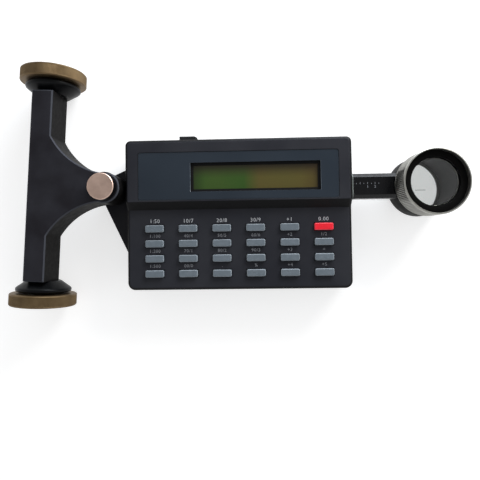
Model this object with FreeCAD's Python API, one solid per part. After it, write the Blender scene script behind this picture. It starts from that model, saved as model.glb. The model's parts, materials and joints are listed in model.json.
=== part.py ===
import FreeCAD, Part
import math
import os

# Roller planimeter: a console with a display and keys, a roller carriage that
# swivels on its left, and a tracer arm with a round magnifier on its right.
# The origin is the tracing point on the paper, under the middle of the magnifier.
# +X runs from the carriage pivot to the tracing point, +Z is up from the paper.

os.makedirs("parts", exist_ok=True)

Vector = FreeCAD.Vector
UP = Vector(0, 0, 1)
ALONG = Vector(1, 0, 0)
ACROSS = Vector(0, 1, 0)

# Plan of the instrument
reach = 213.0                 # pivot axis to tracing point
pivot_gap = 12.0              # pivot axis to the side of the console
console_length = 150.0
console_depth = 100.0
console_back = 31.8           # arm axis to the back edge of the console
corner_front = 5.0            # corner radius in plan
corner_back = 3.5
least_corner = 0.5            # corners inside the shell

# Heights of the console
base_height = 3.0             # underside above the paper
base_skin = 2.0               # floor and wall thickness of the base
base_inset = 0.3              # step at the seam between the covers
base_edge = 1.2               # chamfer round the underside
seam_height = 11.0            # where the two covers meet
deck_height = 26.0            # face round the keys
hump_rise = 5.0               # display housing above the key deck
hump_depth = 41.2             # back edge to the top of the slope
slope_run = 5.2               # slope in plan
cover_wall = 2.2
lip_height = 1.6              # lip of the base inside the upper cover
lip_thickness = 1.0
lip_play = 0.1
deck_round = 2.4              # rounding of the top edges

# Display
panel_length = 132.2
panel_depth = 31.6
panel_thickness = 0.8
panel_seat = 1.1              # depth of the pocket for the panel
panel_corner = 1.5
panel_margin = 8.6            # back edge to the panel
panel_play = 0.1              # gap round the panel
window_length = 85.7
window_depth = 19.2
window_shift = 11.55          # window to the right of the middle
window_drop = 0.9             # window to the front of the panel's middle
lcd_border = 1.7              # black frame seen inside the window
lcd_flange = 4.2              # frame outside the window
glass_thickness = 1.8
glass_seat = 1.2              # glass beyond the frame's opening
glass_depth = 0.9             # glass below the frame's front

# Keys
key_columns = 6
key_rows = 4
key_side = 18.75               # side of the console to the first column
key_pitch_y = 10.0
key_length = 12.4
key_depth = 4.7
key_rise = 2.0                # above the deck
key_edge = 0.6                # bevel round the top
key_play = 0.25               # gap round a key in its opening
key_front = 11.0              # front edge to the first row
key_travel = 0.8
key_flange = 0.7              # collar below the deck
key_flange_thickness = 1.0
key_gap = 0.1                 # collar to the deck, and to the mat when pressed
mat_thickness = 1.2
mat_margin = 3.0
board_thickness = 1.6
board_margin = 4.5
pillar_width = 4.0
pillar_play = 0.3
main_board_height = 23.0
main_board_margin = 9.0       # board to the ends of the console
main_board_front = 2.0        # board behind the top of the slope
main_board_back = 6.0         # board in front of the back edge
board_play = 1.0              # gap round bosses, switch and socket

# Screws of the console
boss_inset = 7.2
boss_radius = 3.2
boss_pilot = 1.2
boss_hole = 1.7
screw_head_radius = 2.7
screw_sink = 0.3              # head below the face of the base
screw_length = 14.0
screw_play = 0.05

# Plate that carries the pivot
plate_thickness = 5.0
plate_hub_radius = 11.2
plate_back = 17.5             # plate's back corner from the arm axis
plate_front = 51.0
plate_inside = 40.0           # plate inside the console
plate_play = 0.15
plate_screw_inset = 8.0
plate_skin = 0.5              # plate left above the ends of its screw holes

# Tracer arm
arm_width = 17.0
arm_top_width = 12.0
arm_top = 20.0
arm_bottom = 10.0
arm_bevel = 2.5
arm_inside = 26.0             # arm inside the console
arm_play = 0.15
arm_collar_length = 1.2
arm_collar_rim = 0.8
arm_screw_inset = 14.0        # side of the console to the arm's screw
arm_screw_grip = 6.0          # screw inside the arm

# Tracer
barrel_radius = 20.5
barrel_bore = 15.2
barrel_top = 20.6
barrel_edge = 0.8
neck_radius = 17.5
neck_top = 31.0
sole_height = 0.8
sole_radius = 19.4
disc_thickness = 1.4
disc_lip = 1.0                # ledge under the tracing disc
grip_radius = 21.3
grip_top = 40.0
grip_gap = 0.35               # grip ring above the barrel
grip_rim = 1.1                # width of the plain rim
grip_play = 0.05
lens_radius = 16.4
lens_edge = 1.6
lens_rise = 2.2
lens_steps = 3                # cones that make up the curved face
lens_ledge = 1.4
lens_gap = 1.0                # lens ledge above the neck
lens_ledge_thickness = 1.0
retainer_bore = 15.6
retainer_thickness = 1.8

# Swivel
pin_radius = 4.0
pin_play = 0.04
bush_radius = 6.0
hub_boss_radius = 8.2
hub_gap = 0.4                 # carriage hub above the plate
cap_radius = 8.6
cap_height = 6.6
cap_edge = 0.7
cap_gap = 0.3
cap_cover = 2.0               # cap above the end of the pin

# Roller carriage
carriage_swing = -2.9         # degrees that the carriage stands turned
carriage_top = 38.0
carriage_bottom = 14.6
carriage_wall = 2.2
carriage_edge = 0.8
hub_radius = 10.2
beam_near = 36.5              # pivot axis to the near side of the beam
beam_width = 14.0
beam_length = 126.0
rib_thickness = 2.0
flank_radius = 47.0           # concave sides between hub and beam
flank_x = 4.5
flank_y = 56.0
floor_plate_thickness = 1.5
floor_plate_play = 0.1

# Rollers
roller_radius = 21.5
roller_width = 8.0
roller_crown = 0.6
roller_web = 2.4              # recess of the outer face
roller_rim = 3.2
roller_hub = 7.0
roller_taper = 1.0            # slant between rim, web and hub
roller_gap = 1.2              # bell to roller
bell_radius = 17.8
bell_neck = 11.0
bell_flare = 4.4
bell_band = 3.1
axle_radius = 3.0
axle_play = 0.03
axle_hole_play = 0.6
bearing_radius = 8.0
bearing_width = 5.0
bearing_gap = 0.1
nut_radius = 4.6
nut_height = 2.0
nut_edge = 0.6

# Measuring wheel and its encoder, under the console
wheel_inset = 61.0            # left side of the console to the wheel
wheel_radius = 11.0
wheel_lift = 0.1              # wheel above the plane the part stands on
wheel_width = 3.4
wheel_rim_width = 1.6
wheel_web = 1.2
wheel_rim = 2.0
wheel_hub = 2.6
wheel_slot_play = 1.2
wheel_axle_radius = 1.0
wheel_axle_play = 0.04
wheel_axle_end = 0.6          # axle beyond its bracket
encoder_axle_end = 0.2        # axle beyond the encoder disc
cheek_gap = 1.3               # wheel to the cheeks of its bracket
cheek_thickness = 1.6
cheek_width = 10.0
bracket_skin = 1.4
bracket_foot = 6.0
encoder_radius = 5.4
encoder_thickness = 0.6
encoder_gap = 1.8             # cheek to encoder disc
sensor_slot = 0.7             # gap on each side of the encoder disc
sensor_leg = 1.4
sensor_width = 5.0
sensor_overlap = 2.4          # disc inside the sensor
sensor_roof = 2.0

# Batteries
cell_radius = 5.2
cell_length = 44.0
cell_pitch = 10.2
cell_count = 4
cell_flat = 0.2               # flat left between the rounded sides of the pack
cell_inset = 22.0             # right side of the console to the cells
cell_front = 9.0              # front edge to the first cell
tray_rib = 1.2
tray_rib_height = 4.0
tray_play = 0.3

# Power switch in the back wall
switch_inset = 42.2           # left side of the console to the switch
switch_height = 22.5
rocker_length = 12.6
rocker_depth = 6.4            # size along Z
rocker_proud = 3.0
rocker_round = 3.2            # rounding of the end that is pressed in
rocker_tilt = 8.0             # degrees between on and off
rocker_pivot_depth = 2.6      # pivot behind the wall's face
rocker_root = 4.6             # body behind the wall's face
rocker_play = 0.2
rocker_end_play = 0.6         # play at the ends, where the rocker swings
rocker_pin_radius = 0.8
rocker_pin_play = 0.04
rocker_pin_length = 1.0
switch_wall = 1.6
switch_back_gap = 1.6

# Adaptor socket in the back wall
jack_inset = 22.0             # right side of the console to the socket
jack_height = 18.0
jack_bore = 1.75
jack_bore_depth = 10.0
jack_nose = 3.0
jack_body_width = 9.0
jack_body_height = 8.0
jack_body_depth = 11.0

# Allowances for cutting and for picking edges
past = 1.0                    # how far a cut runs past the face it opens
touch = 0.01

# Places worked out from the sizes above
console_left = -reach + pivot_gap
console_right = console_left + console_length
console_front = console_back - console_depth
console_middle = (console_left + console_right) / 2
hump_height = deck_height + hump_rise
ceiling = deck_height - cover_wall
hump_ceiling = hump_height - cover_wall
slope_top = console_back - hump_depth
slope_foot = slope_top - slope_run
floor_top = base_height + base_skin
plate_top = floor_top + plate_thickness
panel_y = console_back - panel_margin - panel_depth / 2
window_x = console_middle + window_shift
window_y = panel_y - window_drop
key_pitch_x = (console_length - 2 * key_side) / (key_columns - 1)
key_x = [console_middle + (i - (key_columns - 1) / 2) * key_pitch_x for i in range(key_columns)]
key_y = [console_front + key_front + (key_rows - 1 - i) * key_pitch_y for i in range(key_rows)]
key_middle_y = (key_y[0] + key_y[-1]) / 2
collar_top = ceiling - key_gap
collar_bottom = collar_top - key_flange_thickness
mat_top = collar_bottom - key_travel - key_gap
board_top = mat_top - mat_thickness
wheel_x = console_left + wheel_inset
wheel_z = wheel_radius + wheel_lift
switch_x = console_left + switch_inset
jack_x = console_right - jack_inset
axle_x = -beam_near - beam_width / 2
pivot_place = Vector(-reach, 0, 0)


def box(x0, x1, y0, y1, z0, z1):
    return Part.makeBox(x1 - x0, y1 - y0, z1 - z0, Vector(x0, y0, z0))


def post(x, y, z0, z1, radius):
    return Part.makeCylinder(radius, z1 - z0, Vector(x, y, z0), UP)


def rod(start, direction, length, radius):
    return Part.makeCylinder(radius, length, start, direction)


def prism(outline, z0, z1):
    corners = [Vector(x, y, z0) for x, y in outline]
    face = Part.Face(Part.makePolygon(corners + corners[:1]))
    return face.extrude(Vector(0, 0, z1 - z0))


def uprights(block):
    """Edges that run the whole height of a block."""
    height = block.BoundBox.ZLength
    return [edge for edge in block.Edges if edge.BoundBox.ZLength > height - touch]


def rounded_slab(x0, x1, y0, y1, z0, z1, radius):
    """Slab with its upright edges rounded."""
    slab = box(x0, x1, y0, y1, z0, z1)
    return slab.makeFillet(radius, uprights(slab))


def turned(profile, centre, axis):
    """Solid turned from a profile of (radius, distance along the axis)."""
    side = Vector(0, 0, 1) if abs(axis.z) < 0.5 else Vector(1, 0, 0)
    corners = [centre + side * radius + axis * distance for radius, distance in profile]
    face = Part.Face(Part.makePolygon(corners + corners[:1]))
    return face.revolve(centre, axis, 360)


def edges_of_top(shape, lowest):
    """Edges between the upward faces and the walls, above a given height."""
    top_faces = [face for face in shape.Faces if face.normalAt(0, 0).z > 0.3]
    chosen = []
    for edge in shape.Edges:
        owners = [face for face in top_faces if any(edge.isSame(other) for other in face.Edges)]
        if len(owners) == 1 and edge.BoundBox.ZMin > lowest:
            chosen.append(edge)
    return chosen


def console_plan(inset, z0, z1):
    """Upright block with the outline of the console, moved in all round."""
    block = box(console_left + inset, console_right - inset,
                console_front + inset, console_back - inset, z0, z1)
    front = [edge for edge in uprights(block) if edge.CenterOfMass.y < 0]
    block = block.makeFillet(max(corner_front - inset, least_corner), front)
    back = [edge for edge in uprights(block)
            if edge.CenterOfMass.y > console_back - inset - touch]
    return block.makeFillet(max(corner_back - inset, least_corner), back)


def cover_form(inset, bottom):
    """Form of the upper cover with its display hump, moved in all round."""
    shift = inset * math.tan(math.atan2(hump_rise, slope_run) / 2)
    side = [
        (console_front, bottom),
        (console_front, deck_height - inset),
        (slope_foot + shift, deck_height - inset),
        (slope_top + shift, hump_height - inset),
        (console_back, hump_height - inset),
        (console_back, bottom),
    ]
    corners = [Vector(console_left, y, z) for y, z in side]
    face = Part.Face(Part.makePolygon(corners + corners[:1]))
    sweep = face.extrude(Vector(console_length, 0, 0))
    return sweep.common(console_plan(inset, bottom, hump_height))


def boss_places():
    for x in (console_left + boss_inset, console_right - boss_inset):
        for y in (console_front + boss_inset, console_back - boss_inset):
            yield x, y


def key_pillar_places():
    for x in (key_x[0] + key_pitch_x / 2, key_x[-1] - key_pitch_x / 2):
        for y in (key_y[0] - key_pitch_y / 2, key_y[-1] + key_pitch_y / 2):
            yield x, y


def pillar(x, y, z0, z1, play):
    half = pillar_width / 2 + play
    return box(x - half, x + half, y - half, y + half, z0, z1)


def board_pillar_places():
    inset = main_board_margin + pillar_width
    for x in (console_left + inset, console_right - inset):
        for y in (slope_top + main_board_front + pillar_width,
                  console_back - main_board_back - pillar_width):
            yield x, y


def arm_section(inset, x0, x1):
    """Length of the tracer arm, with the bevels along its top."""
    half = arm_width / 2 - inset
    half_top = arm_top_width / 2 - inset / 2
    section = [
        (-half, arm_bottom + inset),
        (half, arm_bottom + inset),
        (half, arm_top - arm_bevel - inset / 2),
        (half_top, arm_top - inset),
        (-half_top, arm_top - inset),
        (-half, arm_top - arm_bevel - inset / 2),
    ]
    corners = [Vector(x0, y, z) for y, z in section]
    face = Part.Face(Part.makePolygon(corners + corners[:1]))
    return face.extrude(Vector(x1 - x0, 0, 0))


def switch_room(play):
    """Space of the rocker's case behind the back wall."""
    half = rocker_length / 2 + rocker_end_play + switch_wall + play
    high = rocker_depth / 2 + rocker_play + switch_wall + play
    return box(switch_x - half, switch_x + half,
               console_back - rocker_root - switch_back_gap - switch_wall - play,
               console_back, switch_height - high, switch_height + high)


def make_top_cover():
    outer = cover_form(0, seam_height)
    outer = outer.makeFillet(deck_round, edges_of_top(outer, seam_height + past))
    shell = outer.cut(cover_form(cover_wall, seam_height))
    for x, y in boss_places():
        roof = hump_ceiling if y > slope_top else ceiling
        shell = shell.fuse(post(x, y, seam_height, roof, boss_radius))
    for x, y in key_pillar_places():
        shell = shell.fuse(pillar(x, y, board_top, ceiling, 0))
    for x, y in board_pillar_places():
        top = main_board_height + board_thickness
        shell = shell.fuse(pillar(x, y, top, hump_ceiling, 0))
    cuts = []
    for x, y in boss_places():
        cuts.append(post(x, y, seam_height, base_height + screw_length + past, boss_pilot))
    for x in key_x:
        for y in key_y:
            half_x = key_length / 2 + key_play
            half_y = key_depth / 2 + key_play
            cuts.append(box(x - half_x, x + half_x, y - half_y, y + half_y,
                            ceiling - past, deck_height + past))
    cuts.append(rounded_slab(console_middle - panel_length / 2 - panel_play,
                             console_middle + panel_length / 2 + panel_play,
                             panel_y - panel_depth / 2 - panel_play,
                             panel_y + panel_depth / 2 + panel_play,
                             hump_height - panel_seat, hump_height + past,
                             panel_corner + panel_play))
    cuts.append(box(window_x - window_length / 2, window_x + window_length / 2,
                    window_y - window_depth / 2, window_y + window_depth / 2,
                    hump_ceiling - past, hump_height + past))
    cuts.append(arm_section(-arm_play, console_right - 2 * cover_wall, console_right + past))
    cuts.append(switch_room(0))
    cuts.append(rod(Vector(jack_x, console_back - 2 * cover_wall, jack_height),
                    ACROSS, 3 * cover_wall, jack_nose))
    return shell.cut(cuts)


def make_base_cover():
    outer = console_plan(base_inset, base_height, seam_height)
    rim = [edge for edge in outer.Edges if edge.BoundBox.ZMax < base_height + touch]
    outer = outer.makeChamfer(base_edge, rim)
    tray = outer.cut(console_plan(base_inset + base_skin, floor_top, seam_height + past))
    lip = console_plan(cover_wall + lip_play, floor_top, seam_height + lip_height)
    lip = lip.cut(console_plan(cover_wall + lip_play + lip_thickness, floor_top,
                               seam_height + lip_height))
    tray = tray.fuse(lip)
    room = [post(x, y, seam_height, seam_height + lip_height, boss_radius + lip_play)
            for x, y in boss_places()]
    tray = tray.cut(room)
    for x, y in boss_places():
        tray = tray.fuse(post(x, y, base_height + base_edge, seam_height, boss_radius))
    pad_left = console_right - arm_inside - base_skin
    tray = tray.fuse(box(pad_left, console_right - base_skin,
                         -arm_width / 2, arm_width / 2, floor_top, arm_bottom))
    cell_left = console_right - cell_inset - cell_length
    cell_right = console_right - cell_inset
    cell_low = console_front + cell_front
    cell_high = cell_low + (cell_count - 1) * cell_pitch
    for x0 in (cell_left - tray_play - tray_rib, cell_right + tray_play):
        tray = tray.fuse(box(x0, x0 + tray_rib, cell_low, cell_high,
                             floor_top, floor_top + tray_rib_height))
    cuts = []
    for x, y in boss_places():
        cuts.append(post(x, y, base_height, seam_height + past, boss_hole))
        cuts.append(screw_seat(x, y))
    cuts.append(box(console_left - past, console_left + 3 * base_skin,
                    -plate_front - plate_play, plate_back + plate_play,
                    floor_top, seam_height + lip_height + past))
    cuts.append(arm_section(-arm_play, console_right - 2 * base_skin, console_right + past))
    half_slot = wheel_width / 2 + wheel_slot_play
    long_slot = math.sqrt(wheel_radius**2 - (wheel_z - floor_top)**2) + wheel_slot_play
    cuts.append(box(wheel_x - half_slot, wheel_x + half_slot, -long_slot, long_slot,
                    base_height - past, floor_top + past))
    for x, y in arm_screw_places() + plate_screw_places():
        cuts.append(post(x, y, base_height, arm_bottom + past, boss_hole))
        cuts.append(screw_seat(x, y))
    return tray.cut(cuts)


def screw_seat(x, y):
    """Countersink for a screw put in from below."""
    narrow = boss_hole
    wide = screw_head_radius + screw_play + screw_sink
    depth = screw_sink + wide - narrow
    return Part.makeCone(wide, narrow, depth, Vector(x, y, base_height), UP)


def arm_screw_places():
    return [(console_right - arm_screw_inset, 0)]


def plate_screw_places():
    near = console_left + plate_screw_inset
    far = console_left + plate_inside - plate_screw_inset
    return [(near, plate_back - plate_screw_inset), (far, plate_screw_inset - plate_front)]


def make_display_panel():
    top = hump_height - panel_seat + panel_thickness
    panel = rounded_slab(console_middle - panel_length / 2, console_middle + panel_length / 2,
                         panel_y - panel_depth / 2, panel_y + panel_depth / 2,
                         hump_height - panel_seat, top, panel_corner)
    window = box(window_x - window_length / 2, window_x + window_length / 2,
                 window_y - window_depth / 2, window_y + window_depth / 2,
                 hump_height - panel_seat - past, top + past)
    return panel.cut(window)


def window_block(grow, z0, z1):
    """Block centred on the display window and larger by grow on each side."""
    return box(window_x - window_length / 2 - grow, window_x + window_length / 2 + grow,
               window_y - window_depth / 2 - grow, window_y + window_depth / 2 + grow, z0, z1)


def make_lcd_frame():
    board = main_board_height + board_thickness
    frame = window_block(lcd_flange, board, hump_ceiling)
    opening = window_block(-lcd_border, hump_ceiling - glass_depth - glass_thickness,
                           hump_ceiling + past)
    seat = window_block(glass_seat - lcd_border, hump_ceiling - glass_depth - glass_thickness,
                        hump_ceiling - glass_depth)
    return frame.cut([opening, seat])


def make_lcd_glass():
    return window_block(glass_seat - lcd_border, hump_ceiling - glass_depth - glass_thickness,
                        hump_ceiling - glass_depth)


def make_key(x, y):
    low = collar_bottom
    collar = box(x - key_length / 2 - key_flange, x + key_length / 2 + key_flange,
                 y - key_depth / 2 - key_flange, y + key_depth / 2 + key_flange,
                 low, collar_top)
    cap = box(x - key_length / 2, x + key_length / 2, y - key_depth / 2, y + key_depth / 2,
              collar_top, deck_height + key_rise)
    rim = [edge for edge in cap.Edges if edge.BoundBox.ZMin > deck_height]
    return collar.fuse(cap.makeChamfer(key_edge, rim))


def key_sheet(margin, z0, z1):
    """Sheet under all the keys, notched where the screw bosses pass."""
    sheet = box(key_x[0] - key_length / 2 - margin, key_x[-1] + key_length / 2 + margin,
                key_y[-1] - key_depth / 2 - margin, key_y[0] + key_depth / 2 + margin, z0, z1)
    notches = [post(x, y, z0 - past, z1 + past, boss_radius + pillar_play)
               for x, y in boss_places()]
    return sheet.cut(notches)


def make_key_mat():
    holes = [pillar(x, y, board_top - past, mat_top + past, pillar_play)
             for x, y in key_pillar_places()]
    return key_sheet(mat_margin, board_top, mat_top).cut(holes)


def make_key_board():
    return key_sheet(board_margin, board_top - board_thickness, board_top)


def make_main_board():
    board = box(console_left + main_board_margin, console_right - main_board_margin,
                slope_top + main_board_front, console_back - main_board_back,
                main_board_height, main_board_height + board_thickness)
    gap = switch_room(board_play)
    socket = box(jack_x - jack_body_width / 2 - board_play,
                 jack_x + jack_body_width / 2 + board_play,
                 console_back - cover_wall - jack_body_depth - board_play, console_back,
                 main_board_height - past, main_board_height + board_thickness + past)
    bosses = [post(x, y, main_board_height - past, main_board_height + board_thickness + past,
                   boss_radius + board_play) for x, y in boss_places()]
    return board.cut([gap, socket] + bosses)


def make_battery_pack():
    left = console_right - cell_inset - cell_length
    low = console_front + cell_front - cell_radius
    wide = (cell_count - 1) * cell_pitch + 2 * cell_radius
    pack = box(left, left + cell_length, low, low + wide,
               floor_top, floor_top + 2 * cell_radius)
    sides = [edge for edge in pack.Edges if edge.BoundBox.XLength > cell_length - touch]
    return pack.makeFillet(cell_radius - cell_flat / 2, sides)


def screw(x, y, length):
    """Countersunk screw put in from below; length is from the face of the base."""
    low = base_height + screw_sink
    shank_radius = boss_pilot - screw_play
    head_height = screw_head_radius - shank_radius
    head = Part.makeCone(screw_head_radius, shank_radius, head_height, Vector(x, y, low), UP)
    return head.fuse(post(x, y, low + head_height, base_height + length, shank_radius))


def make_console_screws():
    screws = [screw(x, y, screw_length) for x, y in boss_places()]
    for x, y in arm_screw_places():
        screws.append(screw(x, y, arm_bottom - base_height + arm_screw_grip))
    for x, y in plate_screw_places():
        screws.append(screw(x, y, plate_top - base_height - 2 * plate_skin))
    return Part.makeCompound(screws)


def tangent_point(point, radius, side):
    """Where the line from a point touches a circle about the pivot."""
    dx = point[0] + reach
    dy = point[1]
    distance = math.hypot(dx, dy)
    angle = math.atan2(dy, dx) + side * math.acos(radius / distance)
    return -reach + radius * math.cos(angle), radius * math.sin(angle)


def make_arm_plate():
    back_corner = (console_left, plate_back)
    front_corner = (console_left, -plate_front)
    inner = console_left + plate_inside
    outline = [
        tangent_point(back_corner, plate_hub_radius, 1),
        back_corner,
        (inner, plate_back),
        (inner, -plate_front),
        front_corner,
        tangent_point(front_corner, plate_hub_radius, -1),
    ]
    plate = prism(outline, floor_top, plate_top)
    plate = plate.fuse(post(-reach, 0, floor_top, plate_top, plate_hub_radius))
    holes = [post(x, y, floor_top - past, plate_top - plate_skin, boss_pilot)
             for x, y in plate_screw_places()]
    holes.append(post(-reach, 0, floor_top - past, plate_top + past, pin_radius))
    return plate.removeSplitter().cut(holes)


def make_tracer_arm():
    arm = arm_section(0, console_right - arm_inside, -barrel_radius / 2)
    collar = arm_section(-arm_collar_rim, console_right, console_right + arm_collar_length)
    arm = arm.fuse(collar)
    room = post(0, 0, arm_bottom - 2, arm_top + 2, barrel_radius)
    holes = [post(x, y, arm_bottom - past, arm_bottom + arm_screw_grip + past, boss_pilot)
             for x, y in arm_screw_places()]
    return arm.cut([room] + holes)


def make_tracer_sole():
    ring = post(0, 0, 0, sole_height, sole_radius)
    return ring.cut(post(0, 0, -1, sole_height + past, barrel_bore - disc_lip))


def make_tracer_barrel():
    profile = [
        (barrel_bore, sole_height),
        (barrel_radius - barrel_edge, sole_height),
        (barrel_radius, sole_height + barrel_edge),
        (barrel_radius, barrel_top - barrel_edge),
        (barrel_radius - barrel_edge, barrel_top),
        (neck_radius, barrel_top),
        (neck_radius, neck_top),
        (barrel_bore, neck_top),
    ]
    return turned(profile, Vector(0, 0, 0), UP)


def make_tracing_disc():
    return post(0, 0, sole_height, sole_height + disc_thickness, barrel_bore)


def lens_seat():
    return neck_top + lens_gap + lens_ledge_thickness


def make_grip_ring():
    cup = grip_radius - grip_rim
    seat = lens_seat()
    profile = [
        (neck_radius + grip_play, barrel_top + grip_gap),
        (grip_radius - barrel_edge, barrel_top + grip_gap),
        (grip_radius, barrel_top + grip_gap + barrel_edge),
        (grip_radius, grip_top - grip_rim / 2),
        (grip_radius - grip_rim / 2, grip_top),
        (cup, grip_top),
        (cup, seat + lens_edge),
        (lens_radius, seat + lens_edge),
        (lens_radius, seat),
        (lens_radius - lens_ledge, seat),
        (lens_radius - lens_ledge, seat - lens_ledge_thickness),
        (neck_radius + grip_play, seat - lens_ledge_thickness),
    ]
    return turned(profile, Vector(0, 0, 0), UP)


def make_lens():
    seat = lens_seat()
    rim = seat + lens_edge
    sphere_radius = (retainer_bore**2 + lens_rise**2) / (2 * lens_rise)
    spread = math.asin(retainer_bore / sphere_radius)
    profile = [(0, seat), (lens_radius, seat), (lens_radius, rim), (retainer_bore, rim)]
    for step in range(lens_steps - 1, -1, -1):
        angle = spread * step / lens_steps
        drop = sphere_radius * (1 - math.cos(angle))
        profile.append((sphere_radius * math.sin(angle), rim + lens_rise - drop))
    return turned(profile, Vector(0, 0, 0), UP)


def make_lens_retainer():
    low = lens_seat() + lens_edge
    ring = post(0, 0, low, low + retainer_thickness, grip_radius - grip_rim)
    return ring.cut(post(0, 0, low - past, low + retainer_thickness + past, retainer_bore))


def pin_top():
    return carriage_top + cap_gap + cap_height - cap_cover


def make_pivot_pin():
    return post(-reach, 0, floor_top, pin_top(), pin_radius)


def make_pivot_cap():
    low = carriage_top + cap_gap
    cap = post(-reach, 0, low, low + cap_height, cap_radius)
    rim = [edge for edge in cap.Edges if edge.BoundBox.ZMin > low + cap_height - touch]
    cap = cap.makeChamfer(cap_edge, rim)
    return cap.cut(post(-reach, 0, low - past, pin_top(), pin_radius))


def carriage_plan(inset, z0, z1):
    """Outline of the carriage in plan, in its own frame with the pivot at zero."""
    half = beam_length / 2 - inset
    near = -beam_near - inset
    far = -beam_near - beam_width + inset
    beam = box(far, near, -half, half, z0, z1)
    shoulder = flank_y - math.sqrt(flank_radius**2 - (flank_x + beam_near)**2)
    neck = box(near - past, flank_x, -shoulder, shoulder, z0, z1)
    neck = neck.cut([post(flank_x, side * flank_y, z0 - past, z1 + past, flank_radius + inset)
                     for side in (-1, 1)])
    hub = post(0, 0, z0, z1, hub_radius - inset)
    return beam.fuse([neck, hub]).removeSplitter()


def placed(shape):
    """Carriage piece turned to its swing and moved to the pivot."""
    shape = shape.copy()
    shape.rotate(Vector(0, 0, 0), UP, carriage_swing)
    shape.translate(pivot_place)
    return shape


def make_carriage_frame():
    outer = carriage_plan(0, carriage_bottom, carriage_top)
    rim = [edge for edge in outer.Edges if edge.BoundBox.ZMin > carriage_top - touch]
    outer = outer.makeChamfer(carriage_edge, rim)
    shell = outer.cut(carriage_plan(carriage_wall, carriage_bottom - past,
                                    carriage_top - carriage_wall))
    boss_low = plate_top + hub_gap
    shell = shell.fuse(post(0, 0, boss_low, carriage_top - carriage_wall / 2, hub_boss_radius))
    shell = shell.fuse(box(-beam_near - carriage_wall, -hub_boss_radius / 2,
                           -rib_thickness / 2, rib_thickness / 2,
                           carriage_bottom + floor_plate_thickness + floor_plate_play,
                           carriage_top - carriage_wall / 2))
    cuts = [post(0, 0, boss_low - past, carriage_top + past, bush_radius)]
    for side in (-1, 1):
        start = Vector(axle_x, side * (beam_length / 2 - 2 * carriage_wall), roller_radius)
        cuts.append(rod(start, ACROSS * side, 3 * carriage_wall, axle_radius + axle_hole_play))
    return placed(shell.cut(cuts))


def make_carriage_base():
    inset = carriage_wall + floor_plate_play
    plate = carriage_plan(inset, carriage_bottom, carriage_bottom + floor_plate_thickness)
    hole = post(0, 0, carriage_bottom - past, carriage_bottom + floor_plate_thickness + past,
                hub_boss_radius + floor_plate_play)
    return placed(plate.cut(hole))


def make_pivot_bush():
    low = plate_top + hub_gap
    bush = post(0, 0, low, carriage_top, bush_radius)
    return placed(bush.cut(post(0, 0, low - past, carriage_top + past, pin_radius + pin_play)))


def bell_length():
    return bell_flare + bell_band


def at_ends(make_one):
    """The same piece at both ends of the roller axle."""
    pieces = []
    for side in (-1, 1):
        centre = Vector(axle_x, side * beam_length / 2, roller_radius)
        pieces.append(placed(make_one(centre, ACROSS * side)))
    return pieces


def one_bell(centre, outward):
    length = bell_length()
    profile = [
        (axle_radius + axle_hole_play, 0),
        (bell_neck, 0),
        (bell_radius - barrel_edge, bell_flare),
        (bell_radius, bell_flare + barrel_edge),
        (bell_radius, length - barrel_edge),
        (bell_radius - barrel_edge, length),
        (bearing_radius, length),
        (bearing_radius, length - bearing_width),
        (axle_radius + axle_hole_play, length - bearing_width),
    ]
    return turned(profile, centre, outward)


def one_bearing(centre, outward):
    length = bell_length()
    profile = [
        (axle_radius + axle_play, length - bearing_width),
        (bearing_radius, length - bearing_width),
        (bearing_radius, length),
        (axle_radius + axle_play, length),
    ]
    return turned(profile, centre, outward)


def one_roller(centre, outward):
    inner = bell_length() + roller_gap
    outer = inner + roller_width
    recess = outer - roller_web
    profile = [
        (axle_radius, bell_length() + bearing_gap),
        (roller_hub - roller_taper, bell_length() + bearing_gap),
        (roller_hub - roller_taper, inner),
        (roller_radius - roller_crown, inner),
        (roller_radius, inner + roller_crown),
        (roller_radius, outer - roller_crown),
        (roller_radius - roller_crown, outer),
        (roller_radius - roller_rim, outer),
        (roller_radius - roller_rim - roller_taper, recess),
        (roller_hub + roller_taper, recess),
        (roller_hub, outer),
        (axle_radius, outer),
    ]
    return turned(profile, centre, outward)


def make_roller_axle():
    end = beam_length / 2 + bell_length() + roller_gap + roller_width
    axle = rod(Vector(axle_x, -end, roller_radius), ACROSS, 2 * end, axle_radius)
    for side in (-1, 1):
        start = Vector(axle_x, side * end, roller_radius)
        nut = [(0, 0), (nut_radius, 0), (nut_radius, nut_height - nut_edge),
               (nut_radius - nut_edge, nut_height), (0, nut_height)]
        axle = axle.fuse(turned(nut, start, ACROSS * side))
    return placed(axle)


def wheel_turned(profile):
    return turned(profile, Vector(wheel_x, 0, wheel_z), ALONG)


def cheek_inner():
    return wheel_width / 2 + cheek_gap


def encoder_start():
    return cheek_inner() + cheek_thickness + encoder_gap


def make_measuring_wheel():
    half = wheel_width / 2
    rim = wheel_rim_width / 2
    web = wheel_web / 2
    profile = [
        (wheel_axle_radius, -half),
        (wheel_hub, -half),
        (wheel_hub, -web),
        (wheel_radius - wheel_rim, -web),
        (wheel_radius - wheel_rim, -half),
        (wheel_radius, -rim),
        (wheel_radius, rim),
        (wheel_radius - wheel_rim, half),
        (wheel_radius - wheel_rim, web),
        (wheel_hub, web),
        (wheel_hub, half),
        (wheel_axle_radius, half),
    ]
    return wheel_turned(profile)


def make_wheel_axle():
    left = cheek_inner() + cheek_thickness + wheel_axle_end
    right = encoder_start() + encoder_thickness + encoder_axle_end
    return rod(Vector(wheel_x - left, 0, wheel_z), ALONG, left + right, wheel_axle_radius)


def make_encoder_disc():
    start = encoder_start()
    profile = [
        (wheel_axle_radius, start),
        (encoder_radius, start),
        (encoder_radius, start + encoder_thickness),
        (wheel_axle_radius, start + encoder_thickness),
    ]
    return wheel_turned(profile)


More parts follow.
